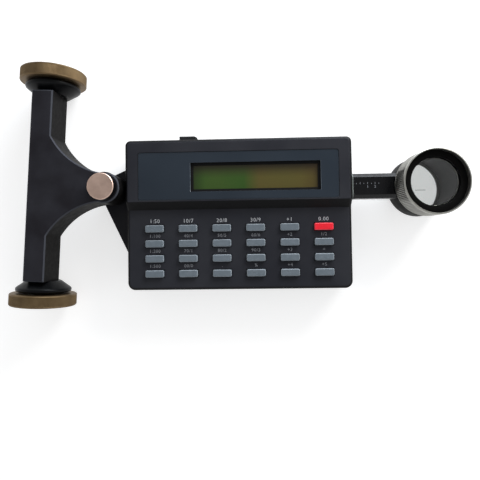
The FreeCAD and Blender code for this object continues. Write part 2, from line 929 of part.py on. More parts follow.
def make_wheel_bracket():
    inner = cheek_inner()
    outer = inner + cheek_thickness
    low = floor_top
    high = wheel_z + cheek_width / 2
    long_half = wheel_radius + wheel_slot_play + bracket_foot
    bracket = box(wheel_x - outer, wheel_x + outer, -long_half, long_half,
                  low, low + bracket_skin)
    for side in (-1, 1):
        start = wheel_x + (inner if side > 0 else -outer)
        cheek = box(start, start + cheek_thickness, -cheek_width / 2, cheek_width / 2,
                    low, high)
        corners = [edge for edge in cheek.Edges
                   if edge.BoundBox.XLength > 0.5 * cheek_thickness
                   and edge.BoundBox.ZMin > high - touch]
        bracket = bracket.fuse(cheek.makeChamfer(cheek_width / 4, corners))
    half_slot = wheel_width / 2 + wheel_slot_play
    long_slot = wheel_radius + wheel_slot_play
    slot = box(wheel_x - half_slot, wheel_x + half_slot, -long_slot, long_slot,
               low - past, low + bracket_skin + past)
    bore = rod(Vector(wheel_x - outer - past, 0, wheel_z), ALONG, 2 * outer + 2,
               wheel_axle_radius + wheel_axle_play)
    return bracket.cut([slot, bore])


def make_encoder_sensor():
    slot_left = wheel_x + encoder_start() - sensor_slot
    slot_right = wheel_x + encoder_start() + encoder_thickness + sensor_slot
    disc_top = wheel_z + encoder_radius
    lowest = disc_top - sensor_overlap
    highest = disc_top + sensor_roof
    half = sensor_width / 2
    head = box(slot_left - sensor_leg / 2, slot_right + sensor_leg, -half, half,
               lowest, highest)
    head = head.cut(box(slot_left, slot_right, -half - past, half + past,
                        lowest - past, disc_top + sensor_slot))
    leg = box(slot_right, slot_right + sensor_leg, -half, half, floor_top, lowest)
    return head.fuse(leg).removeSplitter()


def rocker_pivot():
    return Vector(switch_x, console_back - rocker_pivot_depth, switch_height)


def make_switch_frame():
    half = rocker_length / 2 + rocker_end_play
    high = rocker_depth / 2 + rocker_play
    well = box(switch_x - half, switch_x + half,
               console_back - rocker_root - switch_back_gap, console_back + past,
               switch_height - high, switch_height + high)
    pivot = rocker_pivot()
    reach_z = rocker_depth / 2 + rocker_pin_length + rocker_play
    bore = post(pivot.x, pivot.y, switch_height - reach_z, switch_height + reach_z,
                rocker_pin_radius + rocker_pin_play)
    return switch_room(0).cut([well, bore])


def make_power_rocker():
    """Rocker with a straight left end and a rounded right end."""
    half = rocker_length / 2
    face = console_back + rocker_proud
    root = console_back - rocker_root
    outline = [
        (switch_x - half, (root + console_back) / 2),
        (switch_x - half, face),
        (switch_x + half, face),
        (switch_x + half, (root + console_back) / 2),
        (switch_x + half / 2, root),
        (switch_x - half / 2, root),
    ]
    low = switch_height - rocker_depth / 2
    high = switch_height + rocker_depth / 2
    body = prism(outline, low, high)
    right_end = [edge for edge in uprights(body)
                 if edge.CenterOfMass.x > switch_x and edge.CenterOfMass.y > face - touch]
    body = body.makeFillet(rocker_round, right_end)
    pivot = rocker_pivot()
    return body.fuse(post(pivot.x, pivot.y, low - rocker_pin_length,
                          high + rocker_pin_length, rocker_pin_radius))


def make_charge_jack():
    wall = console_back
    body = box(jack_x - jack_body_width / 2, jack_x + jack_body_width / 2,
               wall - cover_wall - jack_body_depth, wall - cover_wall,
               jack_height - jack_body_height / 2, jack_height + jack_body_height / 2)
    nose = rod(Vector(jack_x, wall - cover_wall, jack_height), ACROSS, cover_wall, jack_nose)
    bore = rod(Vector(jack_x, wall - jack_bore_depth, jack_height), ACROSS,
               jack_bore_depth + past, jack_bore)
    return body.fuse(nose).cut(bore)


def export(name, shape):
    shape.exportStep("parts/" + name + ".step")


def main():
    export("top_cover", make_top_cover())
    export("base_cover", make_base_cover())
    export("display_panel", make_display_panel())
    export("lcd_frame", make_lcd_frame())
    export("lcd_glass", make_lcd_glass())
    export("key_mat", make_key_mat())
    export("key_board", make_key_board())
    export("main_board", make_main_board())
    export("battery_pack", make_battery_pack())
    export("console_screws", make_console_screws())
    export("arm_plate", make_arm_plate())
    export("tracer_arm", make_tracer_arm())
    export("tracer_barrel", make_tracer_barrel())
    export("tracer_sole", make_tracer_sole())
    export("tracing_disc", make_tracing_disc())
    export("grip_ring", make_grip_ring())
    export("lens", make_lens())
    export("lens_retainer", make_lens_retainer())
    export("pivot_pin", make_pivot_pin())
    export("pivot_cap", make_pivot_cap())
    export("carriage_frame", make_carriage_frame())
    export("carriage_base", make_carriage_base())
    export("pivot_bush", make_pivot_bush())
    export("end_bells", Part.makeCompound(at_ends(one_bell)))
    export("roller_bearings", Part.makeCompound(at_ends(one_bearing)))
    front_roller, back_roller = at_ends(one_roller)
    export("roller_front", front_roller)
    export("roller_back", back_roller)
    export("roller_axle", make_roller_axle())
    export("measuring_wheel", make_measuring_wheel())
    export("wheel_axle", make_wheel_axle())
    export("encoder_disc", make_encoder_disc())
    export("wheel_bracket", make_wheel_bracket())
    export("encoder_sensor", make_encoder_sensor())
    export("switch_frame", make_switch_frame())
    export("power_rocker", make_power_rocker())
    export("charge_jack", make_charge_jack())
    for row, y in enumerate(key_y, start=1):
        for column, x in enumerate(key_x, start=1):
            export("key_row%d_column%d" % (row, column), make_key(x, y))


main()
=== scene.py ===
import json
import math

import bmesh
import bpy
from mathutils import Matrix, Vector


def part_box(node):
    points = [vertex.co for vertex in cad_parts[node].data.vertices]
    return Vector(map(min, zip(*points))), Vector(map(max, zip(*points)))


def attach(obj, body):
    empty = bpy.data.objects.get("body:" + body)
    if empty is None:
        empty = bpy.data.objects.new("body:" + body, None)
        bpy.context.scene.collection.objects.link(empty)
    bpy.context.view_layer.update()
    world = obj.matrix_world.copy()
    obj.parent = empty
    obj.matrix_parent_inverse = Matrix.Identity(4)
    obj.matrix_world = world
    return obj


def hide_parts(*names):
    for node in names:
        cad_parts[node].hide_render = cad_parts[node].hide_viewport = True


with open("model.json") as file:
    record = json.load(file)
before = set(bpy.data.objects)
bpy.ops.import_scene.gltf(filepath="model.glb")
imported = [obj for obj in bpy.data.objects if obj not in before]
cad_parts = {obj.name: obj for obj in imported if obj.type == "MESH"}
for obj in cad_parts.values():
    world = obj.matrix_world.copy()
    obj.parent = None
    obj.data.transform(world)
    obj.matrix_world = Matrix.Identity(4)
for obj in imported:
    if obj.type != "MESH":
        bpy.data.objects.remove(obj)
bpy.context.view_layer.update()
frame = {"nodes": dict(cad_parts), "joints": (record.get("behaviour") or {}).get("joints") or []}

# Roller planimeter: finishes, printed legends, turned and knurled pieces, stage and light.
# Lengths in this file are in millimetres; MM turns them into the scene's metres.

MM = 0.001
UP = Vector((0, 0, 1))
ALONG = Vector((1, 0, 0))
TRACING_POINT = Vector((0, 0, 0))
SHARP = math.radians(32)      # edges steeper than this stay sharp
FLAT = math.radians(0.4)      # facets of a CAD node flatter than this become one face
NODE_WELD = 0.002             # points of a CAD node closer than this become one
WELD = 0.001                  # the same for a new piece
SMOOTH_TURN = 128             # steps round a plain turned piece

nodes = frame["nodes"]
joints = {joint["name"]: joint for joint in frame["joints"]}

# Camera: the photograph's viewpoint over the console
camera_place = (-116.7, -36.1, 325.8)
camera_turn = (0.0304, 0.0355, -0.0144)
camera_lens = 33.8
camera_sensor = 36.0
camera_shift = (0.0065, -0.0268)
camera_near = 10.0            # nothing nearer than this is drawn

# Floor, room and lamps
floor_place = (-120, 0, -0.02)
floor_half = 4000.0           # middle of the floor to its sides
floor_glow = 0.6              # white that the camera sees without any lamp
floor_paper = 0.64            # white that the lamps light up
room_white = (0.98, 0.99, 1.0, 1)
ceiling = {"From Min": 0.3, "From Max": 0.8, "To Min": 1.0, "To Max": 0.42}
lamp_aim = (-120, -10, 20)
soft_lamps = [                # name, place, side of the square, watts, colour
    ("key_light", (300, 460, 310), 220, 3.0, (1.0, 0.98, 0.95)),
    ("window_light", (40, 500, 150), 340, 3.3, (0.84, 0.91, 1.0)),
]

# Console
key_rows = 4
key_columns = 6
key_corner = 0.95
key_edge = 0.65
key_flange = 0.7              # how far the foot of a key stands out
key_collar = 1.3              # height of the foot
hump_height = 5.0             # top of the display hump above the key deck
legend_lift = 0.03            # thickness of the print
legend_gap = 5.0              # middle of a key to the middle of its legend
legend_height = 2.2
top_legend_height = 2.6
capital_share = 0.72          # a capital's height as a share of the lettering's size
letter_space = 1.12           # distance between letters, 1 as the font has it

# Tracer
grip_radius = 21.3
grip_low = 20.95
grip_top = 40.0
grip_edge = 0.8               # chamfer at the foot of the ring
grip_rim = 1.1                # thickness of the ring round the retainer
grip_gap = 0.05               # gap to the neck inside it and to the retainer
knurl_low = 22.2
knurl_top = 38.4
knurl_run = 0.4               # length in which the grooves run out
knurl_count = 112
knurl_depth = 0.45
neck_radius = 17.5
neck_top = 31.0
barrel_radius = 20.5
barrel_low = 0.8
barrel_top = 20.6
barrel_edge = 0.8
barrel_bore = 15.2
lens_radius = 16.4
lens_seat = 33.0
lens_edge = 1.6               # height of the lens at its edge
lens_rise = 2.2               # height of its dome above that
lens_steps = 14               # steps of the dome's curve
ledge_width = 1.4             # ledge of the ring that the lens lies on
ledge_height = 1.0
retainer_bore = 15.6
retainer_top = 36.4
sight_ring = 2.5              # ring printed on the tracing disc
sight_ring_half = 0.12        # half the width of its line
sight_dot = 0.22
sight_cross_gap = 1.0         # ring to the near end of a cross line
sight_cross_reach = 6.0       # and to its far end
sight_cross_half = 0.1        # half its width

# Arm
arm_top = 20.0
gasket_left = -50.2
gasket_right = -48.3
gasket_section = [(-8.8, 9.8), (8.8, 9.8), (8.8, 17.7), (6.2, 20.25), (-6.2, 20.25),
                  (-8.8, 17.7)]
scale_start = -46.3
scale_pitch = 2.5
scale_lines = 7
scale_half = 0.14             # half the width of a line
scale_low = 1.1               # middle of the arm to the near end of the lines
scale_high = 1.9              # and to the far end of the short ones
scale_longer = 0.5            # how much further the long ones reach
number_low = -0.7             # middle of the arm to the middle of the numbers
number_height = 1.9

# Swivel and carriage
cap_radius = 8.6
cap_bevel = 0.45
cap_hollow = 4.0              # radius of the hollow over the pin
cap_skin = 2.0                # metal over the hollow
beam_end = 63.0               # middle of the axle to the end of the beam
bell_radius = 17.8
bell_neck = 11.0
bell_flare = 4.4
bell_length = 7.5
bell_edge = 0.8
bell_bore = 3.6
bearing_radius = 8.0
bearing_width = 5.0
roller_radius = 21.5
roller_width = 8.0
roller_gap = 1.2              # bell to roller
roller_edge = 0.6
roller_rim = 3.2              # rim beside the recess in the roller's outer side
roller_recess = 2.4           # depth of the recess
roller_slope = 1.0            # how far the recess's walls slope
roller_hub = 7.0
hub_step = 1.0                # how much thinner the hub is next to the bell
hub_gap = 0.1                 # hub to the bell
roller_knurl_inset = 0.9      # side of the roller to its knurl
roller_knurl_run = 0.3
roller_knurl_count = 180
roller_knurl_depth = 0.14
axle_radius = 3.0

# Screws under the console: place and length from the face of the base
console_screws = [(-193.8, -61.0, 14.0), (-193.8, 24.6, 14.0), (-58.2, -61.0, 14.0),
                  (-58.2, 24.6, 14.0), (-65.0, 0.0, 13.0), (-193.0, 9.5, 6.0),
                  (-169.0, -43.0, 6.0)]
screw_bottom = 3.0            # face of the base
screw_sink = 0.3
screw_head = 2.7
screw_shank = 1.15
screw_steps = 40
cross_long = 1.5              # half the length of the cross recess
cross_thin = 0.35             # half the width of its slots
cross_depth = 0.9
cross_taper = 0.7             # its bottom's size as a share of its mouth's


# Shapes

def place(x, y, z):
    """Point given in millimetres, in the scene's metres."""
    return Vector((x, y, z)) * MM


def middle_of(node):
    """Middle of a CAD node's box."""
    low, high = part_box(node)
    return (low + high) / 2


def new_piece(name, mesh, body, finish, stands_for=()):
    """Object made from a bmesh, with its finish, riding on a body of the frame."""
    data = bpy.data.meshes.new(name)
    mesh.to_mesh(data)
    mesh.free()
    data.materials.append(finish)
    data.shade_smooth()
    data.set_sharp_from_angle(angle=SHARP)
    piece = bpy.data.objects.new(name, data)
    bpy.context.scene.collection.objects.link(piece)
    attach(piece, body)
    if stands_for:
        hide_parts(*stands_for)
    return piece


def keep_flat(piece):
    """Shading of large flat faces kept flat next to their bevels."""
    flat = piece.modifiers.new("flat_faces", "WEIGHTED_NORMAL")
    flat.keep_sharp = True
    flat.weight = 90


def break_edges(piece, width):
    """Small rounded bevel along the sharp edges, with flat faces kept flat."""
    bevel = piece.modifiers.new("broken_edges", "BEVEL")
    bevel.width = width * MM
    bevel.segments = 2
    bevel.limit_method = "ANGLE"
    bevel.angle_limit = SHARP
    keep_flat(piece)


def merged(node):
    """Mesh of a CAD node with its loose triangles joined into faces."""
    mesh = bmesh.new()
    mesh.from_mesh(nodes[node].data)
    bmesh.ops.remove_doubles(mesh, verts=mesh.verts, dist=NODE_WELD * MM)
    bmesh.ops.dissolve_limit(mesh, angle_limit=FLAT, verts=mesh.verts, edges=mesh.edges,
                             delimit={"NORMAL"})
    return mesh


def dressed_node(node, body, finish, edge):
    """Piece that stands for a CAD node, with edges broken by a small bevel."""
    piece = new_piece(node + "_dressed", merged(node), body, finish, [node])
    break_edges(piece, edge)


def finish_node(node, finish):
    """Finish for a CAD node that stays as it is."""
    nodes[node].data.materials[0] = finish


def start_of(axis):
    """Direction, square to the axis, that a turned profile starts from."""
    return ALONG if abs(axis.z) > 0.5 else UP


def spun(profile, centre, axis, steps=SMOOTH_TURN, closed=True):
    """Bmesh turned from a profile of (radius, distance along the axis)."""
    mesh = bmesh.new()
    side = start_of(axis)
    verts = [mesh.verts.new(centre + side * radius * MM + axis * distance * MM)
             for radius, distance in profile]
    edges = [mesh.edges.new(pair) for pair in zip(verts, verts[1:])]
    if closed:
        edges.append(mesh.edges.new((verts[-1], verts[0])))
    bmesh.ops.spin(mesh, geom=verts + edges, cent=centre, axis=axis,
                   angle=2 * math.pi, steps=steps, use_merge=True, use_duplicate=False)
    bmesh.ops.remove_doubles(mesh, verts=mesh.verts, dist=WELD * MM)
    bmesh.ops.recalc_face_normals(mesh, faces=mesh.faces)
    return mesh


def knurl(mesh, centre, axis, radius, low, high, count, depth):
    """Straight knurl: between two heights, every second line of points on a rim drawn in
    towards the axis."""
    side = start_of(axis)
    across = axis.cross(side)
    for vert in mesh.verts:
        offset = vert.co - centre
        along = offset.dot(axis)
        out = offset - axis * along
        on_rim = abs(out.length / MM - radius) < 0.02 and low < along / MM < high
        line = round(math.atan2(out.dot(across), out.dot(side)) * count / math.pi)
        if on_rim and line % 2:
            vert.co -= out.normalized() * depth * MM


def softened(profile, width):
    """Profile with each corner cut back and rounded by a small arc of three points."""
    points = [Vector(point) for point in profile]
    rounded = []
    for i, corner in enumerate(points):
        before = points[i - 1] - corner
        after = points[(i + 1) % len(points)] - corner
        reach = min(width, before.length / 3, after.length / 3)
        on_axis = abs(corner.x) < 1e-6
        if on_axis or reach < 1e-6:
            rounded.append(corner)
            continue
        first = corner + before.normalized() * reach
        last = corner + after.normalized() * reach
        rounded += [first, (first + last) / 4 + corner / 2, last]
    return [tuple(point) for point in rounded]


def bar(low, high):
    """Bmesh of a block between two corners."""
    mesh = bmesh.new()
    size = high - low
    shift = Matrix.Translation((low + high) / 2) @ Matrix.Diagonal((*size, 1))
    bmesh.ops.create_cube(mesh, size=1, matrix=shift)
    return mesh


def joined(name, parts):
    """One bmesh from several."""
    whole = bmesh.new()
    for part in parts:
        data = bpy.data.meshes.new(name)
        part.to_mesh(data)
        part.free()
        whole.from_mesh(data)
        bpy.data.meshes.remove(data)
    return whole


def printed_text(text, centre, height):
    """Bmesh of a thin line of text lying on a surface, centred on a point."""
    curve = bpy.data.curves.new("print", "FONT")
    curve.body = text
    curve.align_x = "CENTER"
    curve.align_y = "CENTER"
    curve.size = height * MM / capital_share
    curve.extrude = legend_lift * MM / 2
    curve.resolution_u = 2
    curve.space_character = letter_space
    sign = bpy.data.objects.new("print", curve)
    bpy.context.scene.collection.objects.link(sign)
    data = bpy.data.meshes.new_from_object(sign)
    bpy.data.objects.remove(sign)
    bpy.data.curves.remove(curve)
    mesh = bmesh.new()
    mesh.from_mesh(data)
    bpy.data.meshes.remove(data)
    bmesh.ops.remove_doubles(mesh, verts=mesh.verts, dist=WELD * MM)
    bmesh.ops.translate(mesh, verts=mesh.verts, vec=centre + UP * legend_lift * MM / 2)
    return mesh


# Finishes

def shade(red, green, blue):
    """Colour given in screen values from 0 to 255, as a linear colour."""
    channels = []
    for value in (red, green, blue):
        part = value / 255
        channels.append(part / 12.92 if part <= 0.04045 else ((part + 0.055) / 1.055) ** 2.4)
    return (*channels, 1.0)


class Finish:
    """A material and short ways to add nodes to it."""

    def __init__(self, name, colour, roughness, metallic=0.0, specular=0.5):
        self.material = bpy.data.materials.new(name)
        self.material.use_nodes = True
        self.tree = self.material.node_tree
        self.shader = self.tree.nodes["Principled BSDF"]
        self.set("Base Color", colour)
        self.set("Roughness", roughness)
        self.set("Metallic", metallic)
        self.set("Specular IOR Level", specular)
        self.surface = self.add("ShaderNodeTexCoord").outputs["Object"]

    def set(self, socket, value):
        """Plain value of one of the shader's sockets."""
        self.shader.inputs[socket].default_value = value

    def link(self, source, socket):
        """Output of a node, led into one of the shader's sockets."""
        self.tree.links.new(source, self.shader.inputs[socket])

    def add(self, kind, inputs=None, **settings):
        """New node with its settings; an input is another node's output or a plain value."""
        node = self.tree.nodes.new(kind)
        for setting, value in settings.items():
            setattr(node, setting, value)
        for socket, value in (inputs or {}).items():
            if isinstance(value, bpy.types.NodeSocket):
                self.tree.links.new(value, node.inputs[socket])
            else:
                node.inputs[socket].default_value = value
        return node

    def noise(self, size, detail=2.0, source=None):
        """Soft cloudy value from 0 to 1 with spots of about the given size."""
        return self.add("ShaderNodeTexNoise", {"Vector": source or self.surface,
                                               "Scale": 1 / (size * MM),
                                               "Detail": detail}).outputs["Fac"]

    def spread(self, value, low, high, from_low=0.3, from_high=0.7):
        """Value moved into a range."""
        return self.add("ShaderNodeMapRange", {"Value": value, "From Min": from_low,
                                               "From Max": from_high, "To Min": low,
                                               "To Max": high}).outputs["Result"]

    def blend(self, amount, first, second):
        """Colour between two others."""
        mix = self.add("ShaderNodeMix", data_type="RGBA")
        for socket, value in (("Factor", amount), ("A", first), ("B", second)):
            target = [entry for entry in mix.inputs
                      if entry.name == socket and entry.type in ("VALUE", "RGBA")]
            target = target[0] if socket == "Factor" else target[-1]
            if isinstance(value, bpy.types.NodeSocket):
                self.tree.links.new(value, target)
            else:
                target.default_value = value
        return [out for out in mix.outputs if out.type == "RGBA"][0]

    def relief(self, height, depth, strength=1.0, under=None):
        """Small bumps from a height value, depth in millimetres."""
        inputs = {"Height": height, "Distance": depth * MM, "Strength": strength}
        if under is not None:
            inputs["Normal"] = under
        return self.add("ShaderNodeBump", inputs).outputs["Normal"]

    def around(self, centre, axis):
        """Vector that runs round an axis through a point, and its length: the distance
        from the axis, in metres."""
        offset = self.add("ShaderNodeVectorMath", {0: self.surface, 1: centre},
                          operation="SUBTRACT").outputs["Vector"]
        cross = self.add("ShaderNodeVectorMath", {0: offset, 1: axis},
                         operation="CROSS_PRODUCT").outputs["Vector"]
        return cross, self.add("ShaderNodeVectorMath", {0: cross},
                               operation="LENGTH").outputs["Value"]

    def turned_marks(self, centre, axis, pitch, depth):
        """Fine rings left by a lathe about an axis."""
        radius = self.around(centre, axis)[1]
        rings = self.add("ShaderNodeCombineXYZ", {"X": radius}).outputs["Vector"]
        return self.relief(self.noise(pitch, 1.0, rings), depth)

    def product(self, first, second):
        """One value times another."""
        return self.add("ShaderNodeMath", {0: first, 1: second},
                        operation="MULTIPLY").outputs[0]

    def part(self, axis):
        """One coordinate of the surface, in metres."""
        return self.add("ShaderNodeSeparateXYZ", {"Vector": self.surface}).outputs[axis]

    def facing_up(self, steep=0.86, level=0.995):
        """1 on level tops, falling to 0 on rounded edges and sides."""
        normal = self.add("ShaderNodeTexCoord").outputs["Normal"]
        height = self.add("ShaderNodeSeparateXYZ", {"Vector": normal}).outputs["Z"]
        return self.add("ShaderNodeMapRange",
                        {"Value": height, "From Min": steep, "From Max": level,
                         "To Min": 0.0, "To Max": 1.0},
                        interpolation_type="SMOOTHSTEP").outputs["Result"]

    def by_slope(self, top, rim, side):
        """Colour of level tops, of the rounded edges round them and of the sides."""
        edge = self.blend(self.facing_up(0.05, 0.5), side, rim)
        return self.blend(self.facing_up(0.8, 0.97), edge, top)


def cover_moulding():
    """Spark-grained black plastic, greyer on the flat tops, with painted shade making its edges
    and sides near black.
    """
    finish = Finish("cover_moulding", shade(26, 27, 30), 0.5, specular=0.14)
    tops = finish.blend(finish.spread(finish.noise(34, 3), 0, 1, 0.35, 0.65),
                        shade(35, 36, 42), shade(44, 45, 50))
    # Painted shade: every face that is not level gets the near-black colour.
    colour = finish.blend(finish.facing_up(), shade(9, 9, 11), tops)
    finish.link(colour, "Base Color")
    finish.link(finish.spread(finish.noise(0.9), 0.44, 0.58), "Roughness")
    finish.link(finish.relief(finish.noise(0.28, 3), 0.03, 0.6), "Normal")
    return finish.material


def panel_gloss():
    """Smooth blue-black acrylic with a painted highlight on its rounded edges and painted shade
    on its sides.
    """
    finish = Finish("panel_gloss", shade(30, 42, 54), 0.16, specular=0.3)
    face = finish.blend(finish.spread(finish.noise(40), 0, 1),
                        shade(33, 41, 50), shade(39, 47, 56))
    # Painted highlight on the rounded edges, painted shade on the sides.
    finish.link(finish.by_slope(face, shade(96, 104, 112), shade(24, 30, 38)), "Base Color")
    finish.link(finish.spread(finish.noise(6, 4), 0.14, 0.24), "Roughness")
    finish.link(finish.relief(finish.noise(14), 0.01, 0.4), "Normal")
    return finish.material


def display_glass():
    """Green liquid crystal glass with painted reflections, olive and brown, on the right, and
    painted shade at the top and the left edge.
    """
    finish = Finish("display_glass", shade(58, 88, 38), 0.07, specular=0.3)
    low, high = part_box("lcd_glass")
    middle = low.x + 0.47 * (high.x - low.x)
    fade = 5 * MM
    # Painted reflection: olive over the right half of the green glass.
    across = finish.spread(finish.part("X"), 0, 1, middle - fade, middle + fade)
    body = finish.blend(across, shade(47, 76, 27), shade(83, 73, 35))
    cloud = finish.spread(finish.noise(26, 1), 0.0, 0.2)
    body = finish.blend(cloud, body, shade(78, 86, 41))
    # Painted shadow of the frame along the top.
    top = finish.spread(finish.part("Y"), 0, 0.9, high.y - 9.5 * MM, high.y - 1 * MM)
    body = finish.blend(top, body, shade(50, 42, 31))
    # Painted shade along the left edge.
    left = finish.spread(finish.part("X"), 0.7, 0, low.x, low.x + 9 * MM)
    body = finish.blend(left, body, shade(34, 36, 22))
    # Painted brown reflection at the right end.
    right = finish.spread(finish.part("X"), 0, 0.5, high.x - 12 * MM, high.x)
    finish.link(finish.blend(right, body, shade(66, 44, 26)), "Base Color")
    finish.link(finish.spread(finish.noise(9), 0.05, 0.12), "Roughness")
    return finish.material


def display_black():
    """Flat black sheet with a faint dusty cast."""
    finish = Finish("display_black", shade(10, 10, 11), 0.7, specular=0.2)
    finish.link(finish.blend(finish.spread(finish.noise(2, 4), 0, 1),
                             shade(7, 7, 8), shade(13, 13, 14)), "Base Color")
    finish.link(finish.relief(finish.noise(0.3), 0.02, 0.4), "Normal")
    return finish.material


def key_plastic(name, light, dark, painted_rim_highlight):
    """Satin key moulding with a fine grain and a painted highlight round the top."""
    finish = Finish(name, light, 0.45, specular=0.4)
    clouds = finish.spread(finish.noise(3.5, 3), 0.0, 1.0, 0.35, 0.65)
    tops = finish.blend(clouds, light, dark)
    # The rounded rim gets a painted highlight.
    finish.link(finish.by_slope(tops, painted_rim_highlight, dark), "Base Color")
    finish.link(finish.spread(finish.noise(0.8), 0.36, 0.5), "Roughness")
    finish.link(finish.relief(finish.noise(0.22, 2), 0.015, 0.5), "Normal")
    return finish.material


def legend_ink(name, colour):
    """Slightly worn printed ink."""
    finish = Finish(name, colour, 0.6, specular=0.2)
    worn = finish.spread(finish.noise(0.6, 3), 0.0, 0.35)
    finish.link(finish.blend(worn, colour, shade(90, 90, 94)), "Base Color")
    return finish.material


def satin_enamel(name, colour, dark, roughness, specular, rim=None, side=None):
    """Black paint on metal with a slight orange peel; a painted highlight may lighten the edges
    and painted shade may darken the sides."""
    finish = Finish(name, colour, roughness, specular=specular)
    paint = finish.blend(finish.spread(finish.noise(18, 3), 0, 1), dark, colour)
    # Painted highlight on the edges, painted shade on the sides.
    if rim:
        paint = finish.by_slope(paint, rim, side)
    finish.link(paint, "Base Color")
    finish.link(finish.spread(finish.noise(2.5, 3), roughness - 0.05, roughness + 0.07),
                "Roughness")
    peel = finish.relief(finish.noise(1.1, 2), 0.025, 0.5)
    finish.link(finish.relief(finish.noise(0.2, 2), 0.01, 0.4, peel), "Normal")
    return finish.material


def spun_metal(name, colour, dark, roughness, centre, axis, pitch, depth, grain=0.0,
               side=None):
    """Turned metal with rings about its axis; grain pulls the shine into a fan, and the
    side of an upright piece may be darker."""
    finish = Finish(name, colour, roughness, metallic=1.0)
    turned = finish.blend(finish.spread(finish.noise(4, 3), 0, 1), dark, colour)
    if side:
        turned = finish.by_slope(turned, colour, side)
    finish.link(turned, "Base Color")
    finish.link(finish.spread(finish.noise(1.6, 4), roughness - 0.05, roughness + 0.08),
                "Roughness")
    finish.link(finish.turned_marks(centre, axis, pitch, depth), "Normal")
    if grain:
        round_about = finish.around(centre, axis)[0]
        tangent = finish.add("ShaderNodeVectorTransform", {"Vector": round_about},
                             vector_type="VECTOR", convert_from="OBJECT",
                             convert_to="WORLD").outputs["Vector"]
        finish.link(tangent, "Tangent")
        finish.set("Anisotropic", grain)
    return finish.material


def dull_metal(name, colour, dark, roughness):
    """Plain machined metal with a cloudy surface."""
    finish = Finish(name, colour, roughness, metallic=1.0)
    finish.link(finish.blend(finish.spread(finish.noise(3, 4), 0, 1), dark, colour),
                "Base Color")
    finish.link(finish.spread(finish.noise(1.2, 3), roughness - 0.06, roughness + 0.1),
                "Roughness")
    finish.link(finish.relief(finish.noise(0.3, 2), 0.01, 0.4), "Normal")
    return finish.material


def clear_glass(name, roughness):
    """Clear polished acrylic."""
    finish = Finish(name, (0.97, 0.985, 0.98, 1.0), roughness)
    finish.set("Transmission Weight", 1.0)
    finish.set("IOR", 1.49)
    finish.link(finish.spread(finish.noise(7), roughness, roughness + 0.015), "Roughness")
    return finish.material


def mottled(name, first, second, size, roughness):
    """Plain plastic, rubber or paper in two close colours."""
    finish = Finish(name, first, roughness, specular=0.4)
    finish.link(finish.blend(finish.spread(finish.noise(size, 3), 0, 1), first, second),
                "Base Color")
    finish.link(finish.spread(finish.noise(size / 3), roughness - 0.05, roughness + 0.08),
                "Roughness")
    finish.link(finish.relief(finish.noise(0.2), 0.012, 0.4), "Normal")
    return finish.material


def circuit_laminate():
    """Green board with a pattern of copper tracks under the lacquer."""
    finish = Finish("circuit_laminate", shade(20, 84, 40), 0.4)
    tracks = finish.add("ShaderNodeTexBrick", {"Vector": finish.surface, "Scale": 220.0,
                                               "Mortar Size": 0.03,
                                               "Color1": shade(18, 78, 36),
                                               "Color2": shade(24, 92, 44),
                                               "Mortar": shade(60, 120, 50)})
    finish.link(tracks.outputs["Color"], "Base Color")
    return finish.material


# Stage, light and camera

def pale_floor():
    """White floor that the camera sees as white and that still takes a shadow."""
    finish = bpy.data.materials.new("pale_floor")
    finish.use_nodes = True
    tree = finish.node_tree
    tree.nodes.clear()
    path = tree.nodes.new("ShaderNodeLightPath")
    seen = tree.nodes.new("ShaderNodeMath")
    seen.operation = "MAXIMUM"
    tree.links.new(path.outputs["Is Camera Ray"], seen.inputs[0])
    tree.links.new(path.outputs["Is Glossy Ray"], seen.inputs[1])
    either = tree.nodes.new("ShaderNodeMath")
    either.operation = "MAXIMUM"
    tree.links.new(seen.outputs[0], either.inputs[0])
    tree.links.new(path.outputs["Is Transmission Ray"], either.inputs[1])
    glow = tree.nodes.new("ShaderNodeEmission")
    level = tree.nodes.new("ShaderNodeMath")
    level.operation = "MULTIPLY"
    level.inputs[1].default_value = floor_glow
    tree.links.new(either.outputs[0], level.inputs[0])
    tree.links.new(level.outputs[0], glow.inputs["Strength"])
    paper = tree.nodes.new("ShaderNodeBsdfDiffuse")
    paper.inputs["Color"].default_value = (floor_paper, floor_paper, floor_paper, 1)
    both = tree.nodes.new("ShaderNodeAddShader")
    tree.links.new(glow.outputs[0], both.inputs[0])
    tree.links.new(paper.outputs[0], both.inputs[1])
    out = tree.nodes.new("ShaderNodeOutputMaterial")
    tree.links.new(both.outputs[0], out.inputs["Surface"])
    return finish


def make_floor():
    """Level floor just under the planimeter."""
    mesh = bmesh.new()
    bmesh.ops.create_grid(mesh, x_segments=1, y_segments=1, size=floor_half * MM,
                          matrix=Matrix.Translation(place(*floor_place)))
    data = bpy.data.meshes.new("floor")
    mesh.to_mesh(data)
    mesh.free()
    data.materials.append(pale_floor())
    floor = bpy.data.objects.new("floor", data)
    bpy.context.scene.collection.objects.link(floor)


def make_room_light():
    """White room with a dimmer ceiling."""
    world = bpy.data.worlds.new("studio")
    bpy.context.scene.world = world
    world.use_nodes = True
    tree = world.node_tree
    room = tree.nodes["Background"]
    room.inputs["Color"].default_value = room_white
    direction = tree.nodes.new("ShaderNodeTexCoord")
    split = tree.nodes.new("ShaderNodeSeparateXYZ")
    tree.links.new(direction.outputs["Generated"], split.inputs[0])
    fall = tree.nodes.new("ShaderNodeMapRange")
    for socket, value in ceiling.items():
        fall.inputs[socket].default_value = value
    tree.links.new(split.outputs["Z"], fall.inputs["Value"])
    tree.links.new(fall.outputs["Result"], room.inputs["Strength"])


def soft_lamp(name, where, size, power, colour):
    """Square soft box that points at the middle of the console."""
    lamp = bpy.data.lights.new(name, "AREA")
    lamp.shape = "SQUARE"
    lamp.size = size * MM
    lamp.energy = power
    lamp.color = colour
    holder = bpy.data.objects.new(name, lamp)
    bpy.context.scene.collection.objects.link(holder)
    holder.location = place(*where)
    aim = place(*lamp_aim) - holder.location
    holder.rotation_euler = aim.to_track_quat("-Z", "Y").to_euler()


